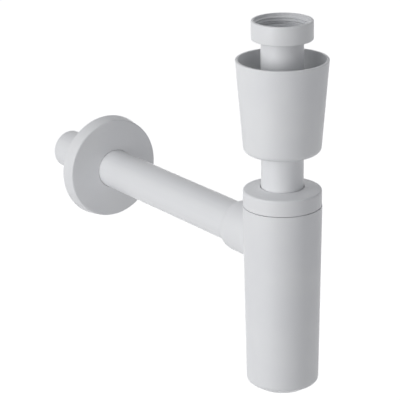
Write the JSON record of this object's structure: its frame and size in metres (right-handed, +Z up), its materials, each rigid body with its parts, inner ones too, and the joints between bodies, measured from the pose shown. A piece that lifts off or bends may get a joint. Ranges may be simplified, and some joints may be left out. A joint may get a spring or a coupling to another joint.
{
  "type": "basin trap",
  "caption": "Dip-tube bottle trap for a washbasin: union nut inlet, sliding cover cup, screwed clamp ring, closed bottle with side socket, outlet tube and wall rosette.",
  "frame": {"origin": "centre of the union nut's mouth, where the basin waste screws in", "axes": "+Z up along the dip tube, out of the nut's mouth; +Y along the outlet tube towards the wall"},
  "size_m": [0.0862, 0.3359, 0.2889],
  "materials": {
    "white_plastic": "satin injection-moulded polypropylene",
    "tube_plastic": "smooth extruded polypropylene",
    "washer_plastic": "white polyethylene, punched from sheet",
    "seal_rubber": "matte moulded rubber"
  },
  "bodies": {
    "inlet": {"inlet_tube": "tube_plastic", "inlet_washer": "washer_plastic"},
    "nut": {"inlet_nut": "white_plastic"},
    "cup": {"cover_cup": "white_plastic", "cup_grip_ring": "seal_rubber"},
    "gasket": {"tube_gasket": "seal_rubber"},
    "bottle": {"bottle": "white_plastic", "outlet_seal": "seal_rubber"},
    "slip_ring": {"slip_ring": "tube_plastic"},
    "clamp_ring": {"clamp_ring": "white_plastic"},
    "outlet": {"outlet_tube": "tube_plastic"},
    "rosette": {"wall_rosette": "white_plastic"}
  },
  "joints": [
    {"name": "nut_spin", "type": "hinge", "parent": "inlet", "child": "nut", "pos_m": [0, 0, -0.0118], "axis": [0, 0, 1], "continuous": true},
    {"name": "cup_slide", "type": "slide", "parent": "inlet", "child": "cup", "axis": [0, 0, 1], "range_m": [-0.0269, 0.0751]},
    {"name": "height_slide", "type": "slide", "parent": "inlet", "child": "gasket", "axis": [0, 0, 1], "range_m": [-0.024, 0.006]},
    {"name": "bottle_swivel", "type": "hinge", "parent": "gasket", "child": "bottle", "pos_m": [0, 0, -0.138], "axis": [0, 0, 1], "continuous": true},
    {"name": "clamp_lift", "type": "slide", "parent": "bottle", "child": "slip_ring", "axis": [0, 0, 1], "range_m": [0, 0.006]},
    {"name": "clamp_turn", "type": "hinge", "parent": "slip_ring", "child": "clamp_ring", "pos_m": [0, 0, -0.136], "axis": [0, 0, 1], "range_deg": [0, 720]},
    {"name": "outlet_slide", "type": "slide", "parent": "bottle", "child": "outlet", "axis": [0, 1, 0], "range_m": [0, 0.0225]},
    {"name": "rosette_slide", "type": "slide", "parent": "outlet", "child": "rosette", "axis": [0, 1, 0], "range_m": [-0.175, 0.057]}
  ],
  "couplings": [
    {"joint": "clamp_lift", "follows": "clamp_turn", "m_per_rad": 0.0004774}
  ]
}
